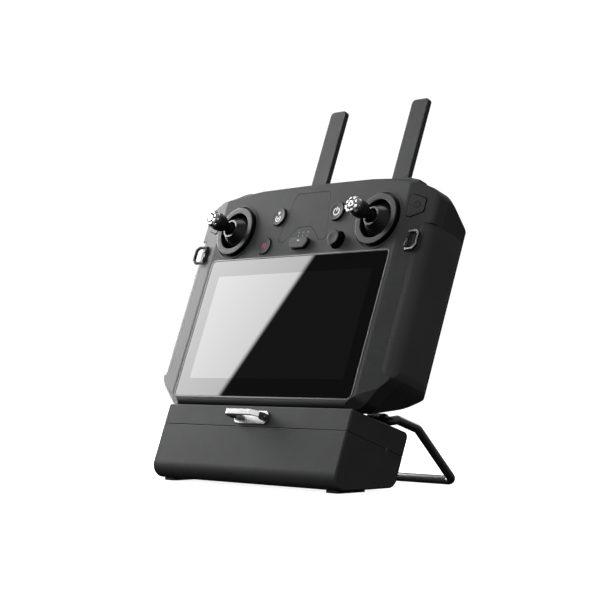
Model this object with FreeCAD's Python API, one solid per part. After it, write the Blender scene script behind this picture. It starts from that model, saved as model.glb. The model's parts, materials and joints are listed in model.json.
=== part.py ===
import FreeCAD, Part
import math
import os

from FreeCAD import Vector, Placement, Rotation

os.makedirs("parts", exist_ok=True)

# ---------------------------------------------------------------- driving dimensions (mm)
# The controller is drawn in its own upright frame: x across, y into the body from the
# glass, z up the screen, with x = z = 0 at the centre of the screen and y = 0 on the glass.
# At the end everything leans back by TILT and is set down on its feet.
TILT = 20.3            # lean of the screen away from upright, degrees
FLOOR = 109.9          # screen centre to the surface the feet stand on
SHIFT_Y = 33.44        # shift that centres the whole object front to back

HALF_W = 119.6         # half width of the controller body
BODY_BOT = -58.5
BODY_TOP = 106.9
BODY_D = 41.2          # depth of the body
FOLD_U = 95.2          # where the side frames start to lean back
FOLD_K = 0.2126        # their slope
SPLIT = 15.2           # front shell / rear shell parting plane
WALL = 2.2
GRIP_IN = 109.8        # inner edge of the rubber grips on the front
GRIP_BOT = -35.4
GRIP_TOP = 71.4
GRIP_T = 2.2

GLASS_U, GLASS_B, GLASS_T = 91.8, -52.7, 51.9
GLASS_D = 1.6
RIM = 0.8

STICK_U, STICK_V = 73.5, 74.3
RING_RO, RING_RI, RING_H = 18.7, 14.0, 3.33
PIVOT_D = 10.0         # depth of both stick axes

BOX_U = 95.5
BOX_F = 0.95
BOX_TOP = -58.7
BOX_SPLIT = -73.7
BOX_R = 55.4

BAIL_U = 84.6
BAIL_R = 3.1
BAIL_V, BAIL_W = -52.4, 45.5

ANT_U, ANT_HW = 42.55, 8.2
ANT_F, ANT_T = 36.6, 4.0
ANT_TIP = 187.4
ANT_PV, ANT_PW = 92.0, 45.2

HOOK_V, HOOK_W = -67.4, -2.4

RINGAX_U, RINGAX_W, RING_V = 105.2, 1.0, 58.0

EPS = 1e-3
parts = {}


# ---------------------------------------------------------------- helpers (x = u, y = w, z = v)
def V(u, w, v):
    return Vector(u, w, v)


def box(u0, u1, w0, w1, v0, v1):
    return Part.makeBox(u1 - u0, w1 - w0, v1 - v0, V(u0, w0, v0))


def cyl_w(u, v, r, w0, w1):
    return Part.makeCylinder(r, w1 - w0, V(u, w0, v), Vector(0, 1, 0))


def cone_w(u, v, r0, r1, w0, w1):
    return Part.makeCone(r0, r1, w1 - w0, V(u, w0, v), Vector(0, 1, 0))


def cyl_u(w, v, r, u0, u1):
    return Part.makeCylinder(r, u1 - u0, V(u0, w, v), Vector(1, 0, 0))


def cyl_v(u, w, r, v0, v1):
    return Part.makeCylinder(r, v1 - v0, V(u, w, v0), Vector(0, 0, 1))


def face_w(points, w):
    """face in the plane y = w from (u, v) corners"""
    pts = [V(u, w, v) for u, v in points]
    return Part.Face(Part.makePolygon(pts + [pts[0]]))


def round_poly(points, radii, at, plane="w"):
    """closed outline with each corner rounded by its own radius, as a face.
    plane "w": (u, v) points at y = at; "u": (w, v) points at x = at; "v": (u, w) points at z = at"""
    n = len(points)
    edges = []
    ends = []
    for i in range(n):
        p0 = Vector(points[i - 1][0], points[i - 1][1], 0)
        p1 = Vector(points[i][0], points[i][1], 0)
        p2 = Vector(points[(i + 1) % n][0], points[(i + 1) % n][1], 0)
        r = radii[i] if isinstance(radii, (list, tuple)) else radii
        a = (p0 - p1).normalize()
        b = (p2 - p1).normalize()
        c = max(-1.0, min(1.0, a.dot(b)))
        half = math.acos(c) / 2.0
        if r <= 0 or abs(math.pi / 2 - half) < 1e-4:
            ends.append((p1, None, p1))
            continue
        t = r / math.tan(half)
        s = p1 + a * t
        e = p1 + b * t
        bis = (a + b).normalize()
        m = p1 + bis * (r / math.sin(half) - r)
        ends.append((s, m, e))

    def to3(p):
        if plane == "w":
            return V(p.x, at, p.y)
        if plane == "u":
            return V(at, p.x, p.y)
        return V(p.x, p.y, at)

    for i in range(n):
        s, m, e = ends[i]
        if m is not None:
            edges.append(Part.Arc(to3(s), to3(m), to3(e)).toShape())
        nxt = ends[(i + 1) % n][0]
        if (nxt - e).Length > 1e-6:
            edges.append(Part.LineSegment(to3(e), to3(nxt)).toShape())
    return Part.Face(Part.Wire(edges))


def prism(points, radii, w0, w1):
    """(u, v) outline extruded in depth"""
    return round_poly(points, radii, w0, "w").extrude(Vector(0, w1 - w0, 0))


def rect(u0, u1, v0, v1):
    return [(u0, v0), (u1, v0), (u1, v1), (u0, v1)]


def prism_u(points, radii, u0, u1):
    """(w, v) outline extruded across"""
    return round_poly(points, radii, u0, "u").extrude(Vector(u1 - u0, 0, 0))


def prism_v(points, radii, v0, v1):
    """(u, w) outline extruded up the screen"""
    return round_poly(points, radii, v0, "v").extrude(Vector(0, 0, v1 - v0))


def fillet(shape, radius, pick, tries=3):
    edges = [e for e in shape.Edges if pick(e)]
    r = radius
    for _ in range(tries):
        try:
            out = shape.makeFillet(r, edges)
            if out.isValid() and out.Volume > 0.5 * shape.Volume:
                return out
        except Exception:
            pass
        r *= 0.7
    print("fillet skipped", radius, len(edges))
    return shape


def one(shape):
    """the single solid of a shape (largest), cleaned"""
    s = shape.removeSplitter()
    sol = sorted(s.Solids, key=lambda q: -q.Volume)
    return sol[0]


def solids(shape):
    return Part.makeCompound(shape.removeSplitter().Solids)


def mirror(shape):
    return shape.mirror(Vector(0, 0, 0), Vector(1, 0, 0))


def add(name, shape):
    parts[name] = shape


def mid(e):
    return e.valueAt((e.FirstParameter + e.LastParameter) / 2.0)


# ---------------------------------------------------------------- controller body
def plane_cut(shape, n, base):
    """remove everything on the side of the plane that n points to"""
    b = Part.makeBox(600, 600, 200, Vector(-300, -300, 0))
    b.Placement = Placement(base, Rotation(Vector(0, 0, 1), n.normalize()))
    return shape.cut(b)


TOP_RUNS = [((0, 106.9), (82.5, 105.9)), ((82.5, 105.9), (98.0, 102.2)), ((98.0, 102.2), (119.6, 94.3))]


def body(i, r_front=3.4, r_back=7.0, edge=1.3):
    """outer form of the controller, offset inward by i"""
    hw, top, bot = HALF_W - i, BODY_TOP - i, BODY_BOT + i
    c = i * 0.4
    right = [(96.5 - c, bot), (hw, -35.5 + c), (hw, 94.3 - i * 1.2), (98.0, 102.2 - i * 1.05), (82.5, 105.9 - i)]
    pts = right + [(0, top)] + [(-u, v) for u, v in reversed(right)]
    rr = [12, 16, 8, 30, 60, 0, 60, 30, 8, 16, 12]
    b = prism(pts, rr, -5, BODY_D + 5)
    # cross-section seen from above: flat middle, side frames leaning back, rounded sides
    w0 = i * 1.02
    ws = w0 + (hw - FOLD_U) * FOLD_K
    sec = [(-FOLD_U, w0), (FOLD_U, w0), (hw, ws), (hw, BODY_D - i), (-hw, BODY_D - i), (-hw, ws)]
    b = b.common(prism_v(sec, [6, 6, r_front, r_back, r_back, r_front], -150, 150))
    # side profile: rounded lower front edge, underside rising towards the back
    d = i * 1.2
    prof = [(w0 - 0.001, bot), (14 - i * 0.3, bot), (34 - i * 0.5, -47.5 + d), (BODY_D - i + 0.001, -38.5 + d), (BODY_D - i + 0.001, 150), (w0 - 0.001, 150)]
    b = b.common(prism_u(prof, [4.0 if i == 0 else 2.0, 14, 22, 12, 0, 0], -200, 200))
    # shoulders fall towards the back, following the top outline, and the front edge is eased
    for s in (1, -1):
        for (ua, va), (ub, vb) in TOP_RUNS:
            nu, nv = (va - vb), (ub - ua)
            q = math.hypot(nu, nv)
            n = Vector(s * nu / q, 0.65, nv / q)
            b = plane_cut(b, n, V(s * ua, SPLIT, va - d))
            if i == 0 and edge:
                wa = max(0.0, (0.5 * (ua + ub) - FOLD_U) * FOLD_K)
                slope = -FOLD_K if ua > 95 else 0.0
                n = Vector(s * (nu / q + slope), -1.0, nv / q)
                b = plane_cut(b, n, V(s * max(ua, min(ub, FOLD_U)), (edge if ua < 95 else edge + max(0, ua - FOLD_U) * FOLD_K), va - 0.0 if ua > 95 or ub < 95 else va - (FOLD_U - ua) * nu / nv))
                n = Vector(s * (nu / q + slope * 0.45), -0.45, nv / q)
        if i == 0 and edge:
            # lower corner
            n = Vector(s * 0.7071 - s * FOLD_K, -1.0, -0.7071)
            b = plane_cut(b, n, V(s * 108.05, edge + (108.05 - FOLD_U) * FOLD_K, -47.0))
    return one(b)


outer = body(0.0)
core = body(GRIP_T, 6.5, 5.5)
grip_body = body(0.0, 9.0, 8.5)
cavity = body(4.6, 3.0, 4.0)
# the front wall is thinner than the sides
cavity = cavity.fuse(prism([(-92, -53.4), (92, -53.4), (92, 98.6), (82, 101.0), (0, 102.0), (-82, 101.0), (-92, 98.6)], 2.0, WALL, 8.0))


def grip_zone(g):
    """block that holds a grip: runs from the front line round the side to the back"""
    z = prism([(GRIP_IN - g, GRIP_BOT - g), (140, GRIP_BOT - g), (140, GRIP_TOP + g), (GRIP_IN - g, GRIP_TOP + g)], [6, 0, 0, 6], -5, 60)
    z = z.cut(box(0, 200, 36.5 + g, 80, -300, 300).cut(box(117.0, 200, 0, 80, -300, 300)))
    z = z.cut(box(0, 200, 38.5 + g, 80, -300, 300))
    return z


zone_r = grip_zone(0.0)
grip_r = one(grip_body.common(zone_r).cut(core))
add("grip_right", grip_r)
add("grip_left", mirror(grip_r))

zone_g = grip_zone(0.15)
shell = outer.cut(zone_g).cut(mirror(zone_g))
seat = core.common(grip_zone(0.15))
shell = shell.fuse(seat).fuse(mirror(seat))
shell = one(shell)

# ---------------------------------------------------------------- front shell
front = shell.common(box(-200, 200, -10, SPLIT, -200, 200))
rear = shell.common(box(-200, 200, SPLIT + 0.25, 100, -200, 200))
cav_f = cavity.common(box(-200, 200, WALL, SPLIT + 1, -200, 200))
front = front.cut(cav_f)
# glass pocket and window
pr = 3.5
front = front.cut(prism(rect(-GLASS_U - RIM, GLASS_U + RIM, GLASS_B - RIM, GLASS_T + RIM), pr + RIM, -2, GLASS_D))
front = front.cut(prism(rect(-GLASS_U + 3.5, GLASS_U - 3.5, GLASS_B + 3.5, GLASS_T - 3.5), 2, -2, 9))
# stick openings with a low lip and a groove round each ring
for s in (1, -1):
    lip = cyl_w(s * STICK_U, STICK_V, 21.6, -0.55, 1.5)
    front = front.fuse(lip)
for s in (1, -1):
    front = front.cut(cyl_w(s * STICK_U, STICK_V, 20.0, -4, 0.9))
    front = front.cut(cyl_w(s * STICK_U, STICK_V, RING_RO + 0.05, -4, 20))
front = fillet(front, 0.45, lambda e: abs(mid(e).y + 0.55) < 0.01)
# round buttons
PB_U, PB_V, PB_R = 30.3, 83.6, 6.9
ZB_U, ZB_V, ZB_R = -37.9, 61.6, 6.6
KN_U, KN_V, KN_R = 38.3, 61.8, 5.5
front = front.cut(cyl_w(PB_U, PB_V, PB_R + 0.3, -4, 20))
front = front.cut(cyl_w(-PB_U, PB_V, PB_R + 0.3, -4, 20))
front = front.cut(cyl_w(ZB_U, ZB_V, ZB_R + 0.3, -4, 20))
front = front.cut(cyl_w(KN_U, KN_V, KN_R + 1.2, -4, 20))
# mode switch slot
SW_U, SW_V = 0.3, 61.0
front = front.cut(prism(rect(SW_U - 7.2, SW_U + 7.2, SW_V - 2.0, SW_V + 2.0), 1.9, -4, 20))
# inset plate with its two lobes
PLATE = [(-17.6, 100.4), (-25.4, 64.4), (-18.9, 63.0), (-7.0, 74.4), (7.0, 74.4), (18.9, 63.0), (25.4, 64.4), (17.6, 100.4)]
PR = [4.5, 3.2, 3.0, 5.0, 5.0, 3.0, 3.2, 4.5]


def grow(pts, g):
    cu = sum(p[0] for p in pts) / len(pts)
    cv = sum(p[1] for p in pts) / len(pts)
    out = []
    n = len(pts)
    for i in range(n):
        p0, p1, p2 = pts[i - 1], pts[i], pts[(i + 1) % n]
        a = (p1[0] - p0[0], p1[1] - p0[1])
        b = (p2[0] - p1[0], p2[1] - p1[1])
        la, lb = math.hypot(*a), math.hypot(*b)
        na = (a[1] / la, -a[0] / la)
        nb = (b[1] / lb, -b[0] / lb)
        k = 1 + na[0] * nb[0] + na[1] * nb[1]
        out.append((p1[0] + g * (na[0] + nb[0]) / k, p1[1] + g * (na[1] + nb[1]) / k))
    return out


front = front.cut(prism(grow(PLATE, 0.28), PR, -2, 1.0))
# five-sided corner buttons
PENTA = [(98.2, 76.3), (100.9, 75.3), (110.7, 79.4), (110.7, 88.6), (100.4, 91.6), (98.2, 90.6)]
PENR = [1.0, 1.2, 1.8, 1.8, 1.5, 1.0]
front = front.cut(prism(grow(PENTA, 0.5), PENR, -4, 20))
front = front.cut(mirror(prism(grow(PENTA, 0.5), PENR, -4, 20)))


# shoulder buttons sit in the top band of the front shell
def shoulder(g, low, high):
    """bar laid along the sloping top edge, from low to high above it"""
    u0, v0 = 75.5, 106.0
    ang = math.degrees(math.atan2(102.2 - 105.9, 98.0 - 82.5))
    # two-run bar: flat run then the sloping run
    pts = [(75.5 - g, 106.0), (82.5, 105.9), (98.0 + g * 0.9, 102.2 - g * 0.3)]
    up = [(u, v + high) for u, v in pts]
    dn = [(u, v - low) for u, v in reversed(pts)]
    poly = up + dn
    rr = [0.9, 20, 0.9, 0, 0, 0] if g == 0 else 0
    return prism(poly, rr, 4.6 - g, 12.6 + g)


sb_hole = shoulder(0.45, 9.0, 6.0)
front = front.cut(sb_hole).cut(mirror(sb_hole))
# seats of the two lanyard brackets
front = one(front)
add("front_shell", front)

# ---------------------------------------------------------------- rear shell
cav_r = cavity.common(box(-200, 200, SPLIT - 1, BODY_D - WALL, -200, 200))
rear = rear.cut(cav_r)
# dials come through the shoulders
DIAL_U, DIAL_W, DIAL_V, DIAL_R = 92.0, 28.0, 89.2, 9.0
for s in (1, -1):
    for e in (-1, 1):
        c = s * DIAL_U + e * 5.6
        rear = rear.fuse(box(c - 1.2, c + 1.2, DIAL_W - 3.2, DIAL_W + 3.2, DIAL_V - 3.4, DIAL_V + 3.0).fuse(
            box(c - 1.2, c + 1.2, DIAL_W - 3.2, DIAL_W + 3.2, DIAL_V - 3.4, 101).common(outer)))
    rear = rear.cut(box(s * DIAL_U - 4.4, s * DIAL_U + 4.4, DIAL_W - 9.8, DIAL_W + 9.8, 79, 110))
    rear = rear.cut(cyl_u(DIAL_W, DIAL_V, 1.55, s * DIAL_U - 6.0, s * DIAL_U + 6.0))
# battery door recess in the back
DOOR = rect(-52, 52, -22, 44)
rear = rear.cut(prism(DOOR, 6, BODY_D - 1.6, BODY_D + 5))
# air outlet slots
for k in range(7):
    u = -27 + 9 * k
    rear = rear.cut(prism(rect(u - 1.6, u + 1.6, 52, 68), 1.5, BODY_D - 8, BODY_D + 5))
# screw seats
SCREWS = [(-100, -18), (100, -18), (-100, 60), (100, 60), (-60, -34), (60, -34)]
for (u, v) in SCREWS:
    rear = rear.cut(cyl_w(u, v, 3.2, BODY_D - 1.4, BODY_D + 5))
rear = one(rear)
add("rear_shell", rear)

door = prism(rect(-51.75, 51.75, -21.75, 43.75), 5.8, BODY_D - 1.6, BODY_D + 0.3)
door = fillet(door, 0.6, lambda e: abs(mid(e).y - (BODY_D + 0.3)) < 0.01)
add("rear_cover", one(door))

scr = []
for (u, v) in SCREWS:
    s = cyl_w(u, v, 2.9, BODY_D - 1.4, BODY_D - 0.5)
    s = s.cut(prism([(u + 1.5 * math.cos(math.radians(60 * k)), v + 1.5 * math.sin(math.radians(60 * k))) for k in range(6)], 0, BODY_D - 1.1, BODY_D + 1))
    scr.append(s)
add("shell_screws", Part.makeCompound(scr))

# ---------------------------------------------------------------- screen
glass = prism(rect(-GLASS_U, GLASS_U, GLASS_B, GLASS_T), pr, 0.0, GLASS_D)
glass = fillet(glass, 0.35, lambda e: abs(mid(e).y) < 0.01)
add("screen_glass", one(glass))
rim = prism(rect(-GLASS_U - RIM, GLASS_U + RIM, GLASS_B - RIM, GLASS_T + RIM), pr + RIM, -0.3, GLASS_D)
rim = rim.cut(prism(rect(-GLASS_U, GLASS_U, GLASS_B, GLASS_T), pr, -2, GLASS_D + 1))
add("screen_rim", one(rim))
panel = box(-84, 84, GLASS_D, 5.2, -43.5, 43.5)
add("display_panel", panel)

# ---------------------------------------------------------------- inside the body
board = box(-70, 70, 18.5, 20.1, -44, 40)
for (u, v, a, b, h) in ((-30, 10, 9, 9, 2.0), (12, 14, 12, 10, 1.6), (40, -18, 7, 7, 1.5), (-48, -20, 10, 6, 3.0), (8, -24, 14, 4, 2.5)):
    board = board.fuse(box(u - a, u + a, 20.1, 20.1 + h, v - b, v + b))
for (u, v) in ((-66, -40), (66, -40), (-66, 36), (66, 36)):
    board = board.cut(cyl_w(u, v, 1.6, 10, 30))
board_solid = one(board)
cells = []
for k in range(2):
    u0 = -46 + 47 * k
    cells.append(one(fillet(box(u0, u0 + 45, 26.5, 36.0, -14, 36), 1.5, lambda e: True)))
add("inner_battery", Part.makeCompound(cells))
sink = box(-62, 62, 8.0, 9.5, 44, 52.0)
for k in range(20):
    u = -60 + 6.2 * k
    sink = sink.fuse(box(u, u + 1.4, 9.4, 14.5, 44, 52.0))
add("heat_sink", one(sink))
FAN_U, FAN_V, FAN_W = 0.0, 60.0, 30.0
fan = box(-21, 21, 25.5, 36.5, 44.5, 82)
fan = fan.cut(cyl_w(0, 63.2, 16.5, 20, 40)).fuse(cyl_w(0, 63.2, 5.0, 25.5, 27.0))
for k in range(3):
    a = 30 + 120 * k
    arm = box(-1.2, 1.2, 25.5, 27.0, 4.5, 17.2)
    arm.rotate(Vector(0, 0, 0), Vector(0, 1, 0), a)
    arm.translate(V(0, 0, 63.2))
    fan = fan.fuse(arm)
fan = fan.fuse(cyl_w(0, 63.2, 1.0, 26.5, 34.0))
add("fan_frame", one(fan))
rotor = cyl_w(0, 63.2, 6.5, 27.6, 35.0)
for k in range(7):
    bl = box(-0.6, 0.6, 28.0, 35.0, 6.2, 15.6)
    bl.rotate(V(0, 31.5, 0), Vector(0, 0, 1), 38)
    bl.rotate(Vector(0, 0, 0), Vector(0, 1, 0), 360.0 / 7 * k)
    bl.translate(V(0, 0, 63.2))
    rotor = rotor.fuse(bl)
rotor = rotor.cut(cyl_w(0, 63.2, 1.05, 20, 34.2))
rotor = rotor.common(cyl_w(0, 63.2, 16.0, 27.4, 35.6))
add("fan_rotor", one(rotor))
spk = prism(rect(-14, 14, -51.6, -44.4), 2.5, 8.5, 14.5)
spk = spk.fuse(prism(rect(-11, 11, -50.4, -45.6), 2.0, 7.6, 8.5))
add("speaker", one(spk))

# ---------------------------------------------------------------- badge plate
plate = prism(PLATE, PR, 0.0, 1.0)
add("inset_plate", one(plate))

# ---------------------------------------------------------------- stick rings and gimbals
ring = cyl_w(STICK_U, STICK_V, RING_RO, -RING_H, WALL + 1.2)
ring = fillet(ring, 0.7, lambda e: abs(mid(e).y + RING_H) < 0.01)
ring = ring.cut(cyl_w(STICK_U, STICK_V, RING_RI, -10, 10))
ring = ring.cut(cone_w(STICK_U, STICK_V, RING_RI, RING_RI + 3.3, -RING_H + 1.2, WALL + 1.3))
ring = one(ring)
ring = fillet(ring, 0.5, lambda e: abs(mid(e).y + RING_H) < 0.01 and e.Length < 2 * math.pi * (RING_RI + 0.6))
add("stick_ring_right", one(ring))
add("stick_ring_left", mirror(one(ring)))

gf = prism(rect(STICK_U - 20, STICK_U + 17.8, STICK_V - 20, STICK_V + 17.5), 3, WALL + 1.2, 17.5)
gf = gf.cut(prism(rect(STICK_U - 17.4, STICK_U + 16.2, STICK_V - 17.4, STICK_V + 15.8), 2, 0, 16.3))
# bearing bosses for the outer axis, reaching in to the yoke
for s in (1, -1):
    u0 = STICK_U + s * 12.6
    u1 = STICK_U + s * 17.3
    boss = cyl_u(PIVOT_D, STICK_V, 3.4, min(u0, u1), max(u0, u1))
    boss = boss.fuse(box(min(u0, u1), max(u0, u1), PIVOT_D, 16.6, STICK_V - 3.4, STICK_V + 3.4))
    gf = gf.fuse(boss)
gf = gf.cut(cyl_u(PIVOT_D, STICK_V, 1.56, STICK_U - 17.0, STICK_U + 17.0))
add("gimbal_frame_right", one(gf))
add("gimbal_frame_left", mirror(one(gf)))

yoke = box(STICK_U - 8.2, STICK_U + 8.2, PIVOT_D - 2.0, PIVOT_D + 2.0, STICK_V - 8.2, STICK_V + 8.2)
yoke = yoke.cut(box(STICK_U - 5.4, STICK_U + 5.4, 0, 30, STICK_V - 5.4, STICK_V + 5.4))
yoke = fillet(yoke, 1.2, lambda e: abs(e.Length - 4.0) < 0.01)
yoke = yoke.cut(cyl_v(STICK_U, PIVOT_D, 1.36, STICK_V - 12, STICK_V + 12))
for s in (1, -1):
    u0, u1 = STICK_U + s * 7.0, STICK_U + s * 16.0
    stub = cyl_u(PIVOT_D, STICK_V, 1.5, min(u0, u1), max(u0, u1))
    u0, u1 = STICK_U + s * 8.1, STICK_U + s * 12.2
    stub = stub.fuse(cyl_u(PIVOT_D, STICK_V, 2.6, min(u0, u1), max(u0, u1)))
    yoke = yoke.fuse(stub)
add("gimbal_yoke_right", one(yoke))
add("gimbal_yoke_left", mirror(one(yoke)))


# stick: hub with cross pin, shaft, skirt cone with a rimmed mouth, neck
def revolve(profile, u, v):
    """(r, w) outline turned about the w line through (u, v)"""
    pts = [Vector(r, w, 0) for r, w in profile]
    f = Part.Face(Part.makePolygon(pts + [pts[0]]))
    s = f.revolve(Vector(0, 0, 0), Vector(0, 1, 0), 360)
    s.translate(V(u, 0, v))
    return s


CONE_TOP = -7.7
skirt = revolve([(5.5, CONE_TOP), (6.7, CONE_TOP), (7.0, CONE_TOP + 0.5), (12.9, 0.9), (12.9, 1.5), (11.8, 1.5), (8.2, -3.6),
                 (8.2, -3.0), (2.0, -3.0), (2.0, -4.2), (5.2, -4.2)], STICK_U, STICK_V)
neck = revolve([(0, -14.6), (3.2, -14.6), (4.0, -13.6), (3.7, -12.4), (3.5, -9.6), (3.9, -6.4), (4.3, -4.6), (4.3, -4.0), (3.0, -2.0), (2.4, -1.0), (2.4, 8.0), (0, 8.0)], STICK_U, STICK_V)
hub = box(STICK_U - 4.4, STICK_U + 4.4, PIVOT_D - 3.2, PIVOT_D + 3.2, STICK_V - 4.6, STICK_V + 4.6)
hub = fillet(hub, 0.8, lambda e: True)
base = skirt.fuse(neck).fuse(hub).fuse(cyl_v(STICK_U, PIVOT_D, 1.3, STICK_V - 8.1, STICK_V + 8.1))
add("stick_base_right", one(base))
add("stick_base_left", mirror(one(base)))
knob = revolve([(0, -14.6), (3.2, -14.6), (4.0, -13.6), (4.9, -14.2), (5.7, -15.3), (6.1, -16.8), (6.25, -22.2), (5.9, -22.7), (5.5, -22.9), (0, -22.9)], STICK_U, STICK_V)
for k in range(24):
    a = math.radians(15 * k)
    knob = knob.cut(cyl_w(STICK_U + 6.5 * math.cos(a), STICK_V + 6.5 * math.sin(a), 0.48, -22.3, -16.6))
add("stick_knob_right", one(knob))
add("stick_knob_left", mirror(one(knob)))
tip = revolve([(0, -22.9), (5.5, -22.9), (6.1, -23.3), (6.25, -23.8), (6.25, -25.9), (5.7, -26.9), (5.0, -27.3), (4.0, -27.3), (3.7, -26.9),
               (3.7, -25.2), (2.6, -25.2), (2.6, -27.2), (2.2, -27.6), (0, -27.6)], STICK_U, STICK_V)
for k in range(8):
    notch = prism([(STICK_U + 3.1, STICK_V - 0.6), (STICK_U + 8.0, STICK_V - 0.95), (STICK_U + 8.0, STICK_V + 0.95), (STICK_U + 3.1, STICK_V + 0.6)], 0, -30, -24.8)
    notch.rotate(V(STICK_U, 0, STICK_V), Vector(0, 1, 0), 45 * k)
    tip = tip.cut(notch)
tip = tip.cut(cyl_w(STICK_U, STICK_V, 1.1, -30, -26.4))
add("stick_tip_right", one(tip))
add("stick_tip_left", mirror(one(tip)))


# ---------------------------------------------------------------- buttons
def round_button(u, v, r, top, stem=7.0):
    b = cyl_w(u, v, r, -top, WALL + 1.6)
    b = fillet(b, 0.7, lambda e: abs(mid(e).y + top) < 0.01)
    b = b.fuse(cyl_w(u, v, r + 1.2, WALL + 0.9 + 0.6, WALL + 1.6 + 0.6)).fuse(cyl_w(u, v, 2.0, WALL, stem))
    # dished face
    dish = Part.makeSphere(60, V(u, -top - 60 + 0.35, v))
    return one(b.cut(dish))


add("power_button", round_button(PB_U, PB_V, PB_R, 1.6))
add("function_button", round_button(-PB_U, PB_V, PB_R, 1.6))
add("pause_button", round_button(ZB_U, ZB_V, ZB_R, 1.0))

k5 = cyl_w(KN_U, KN_V, KN_R, -5.2, 0.0)
k5 = fillet(k5, 0.7, lambda e: abs(mid(e).y + 5.2) < 0.01)
for k in range(18):
    a = math.radians(20 * k)
    k5 = k5.cut(cyl_w(KN_U + (KN_R + 0.3) * math.cos(a), KN_V + (KN_R + 0.3) * math.sin(a), 0.66, -4.7, 2))
k5 = k5.fuse(cyl_w(KN_U, KN_V, 2.8, -0.2, 3.4))
KN_P = 6.5             # depth of both tilt axes
for e in (-1, 1):
    k5 = k5.fuse(box(KN_U - 1.6, KN_U + 1.6, 2.0, KN_P + 1.6, KN_V + e * 3.1 - 0.7, KN_V + e * 3.1 + 0.7))
k5 = k5.fuse(box(KN_U - 1.6, KN_U + 1.6, 1.4, 3.4, KN_V - 3.8, KN_V + 3.8))
k5 = k5.cut(cyl_v(KN_U, KN_P, 0.86, KN_V - 9, KN_V + 9))
k5 = k5.cut(Part.makeSphere(60, V(KN_U, -5.2 - 60 + 0.12, KN_V)))
add("five_way_knob", one(k5))
st = box(KN_U - 2.2, KN_U + 2.2, KN_P - 1.5, KN_P + 1.5, KN_V - 1.9, KN_V + 1.9)
st = st.fuse(cyl_v(KN_U, KN_P, 0.8, KN_V - 3.8, KN_V + 3.8)).fuse(cyl_u(KN_P, KN_V, 0.8, KN_U - 5.4, KN_U + 5.4))
add("five_way_stem", one(st))
bs = box(KN_U - 7.4, KN_U + 7.4, KN_P + 5.2, KN_P + 6.8, KN_V - 5.0, KN_V + 5.0)
for e in (-1, 1):
    bs = bs.fuse(box(KN_U + e * 5.0 - 1.0, KN_U + e * 5.0 + 1.0, KN_P - 1.8, KN_P + 5.3, KN_V - 2.0, KN_V + 2.0))
bs = bs.cut(cyl_u(KN_P, KN_V, 0.86, KN_U - 5.6, KN_U + 5.6))
key_block = one(bs)

sw = prism([(SW_U - 6.6, SW_V - 4.1), (SW_U + 6.9, SW_V - 4.1), (SW_U + 10.4, SW_V + 0.6), (SW_U + 8.2, SW_V + 4.1), (SW_U - 7.4, SW_V + 4.1), (SW_U - 10.2, SW_V + 0.4)],
           [2.6, 2.6, 1.8, 2.6, 2.6, 1.8], -3.0, -0.4)
sw = fillet(sw, 0.8, lambda e: abs(mid(e).y + 3.0) < 0.01)
sw = sw.fuse(prism(rect(SW_U - 3.2, SW_U + 3.2, SW_V - 1.6, SW_V + 1.6), 1.0, -0.6, 4.0))
add("mode_switch", one(sw))


def fit_plane(points, radii, t_in, t_out):
    """piece flush with the leaning side frame: between depths t_in behind and t_out before it"""
    p = prism(points, radii, -10, 20)
    slab = Part.Face(Part.makePolygon([V(80, -t_out - (FOLD_U - 80) * FOLD_K, -200), V(140, -t_out + (140 - FOLD_U) * FOLD_K, -200),
                                       V(140, t_in + (140 - FOLD_U) * FOLD_K, -200), V(80, t_in - (FOLD_U - 80) * FOLD_K, -200),
                                       V(80, -t_out - (FOLD_U - 80) * FOLD_K, -200)])).extrude(Vector(0, 0, 400))
    return p.common(slab)


cb = fit_plane(PENTA, PENR, 3.0, 0.4)
cb = cb.fuse(fit_plane(rect(101, 108, 80, 87), 1.0, 6.0, 0.0))
hexa = [(105.0 + 2.9 * math.cos(math.radians(60 * k)), 83.9 + 2.9 * math.sin(math.radians(60 * k))) for k in range(6)]
hexb = [(105.0 + 2.4 * math.cos(math.radians(60 * k)), 83.9 + 2.4 * math.sin(math.radians(60 * k))) for k in range(6)]
cb = cb.cut(fit_plane(hexa, 0.9, -0.1, 1.0).cut(fit_plane(hexb, 0.7, 0.6, 1.5)))
add("corner_button_right", one(cb))
add("corner_button_left", mirror(one(cb)))

sb = shoulder(0.0, 6.5, 2.2)
sb = fillet(sb, 0.8, lambda e: mid(e).z > 103.0 and (abs(mid(e).y - 4.6) < 0.01 or abs(mid(e).y - 12.6) < 0.01))
add("shutter_button", one(sb))
add("record_button", mirror(one(sb)))

dl = cyl_u(DIAL_W, DIAL_V, DIAL_R, DIAL_U - 3.6, DIAL_U + 3.6)
dl = fillet(dl, 0.8, lambda e: True)
for k in range(30):
    a = math.radians(12 * k)
    dl = dl.cut(cyl_u(DIAL_W + (DIAL_R + 0.3) * math.cos(a), DIAL_V + (DIAL_R + 0.3) * math.sin(a), 0.6, DIAL_U - 2.6, DIAL_U + 2.6))
dl = dl.fuse(cyl_u(DIAL_W, DIAL_V, 1.5, DIAL_U - 5.8, DIAL_U + 5.8))
add("dial_right", one(dl))
add("dial_left", mirror(one(dl)))

add("main_board", Part.makeCompound([board_solid, key_block]))

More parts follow.
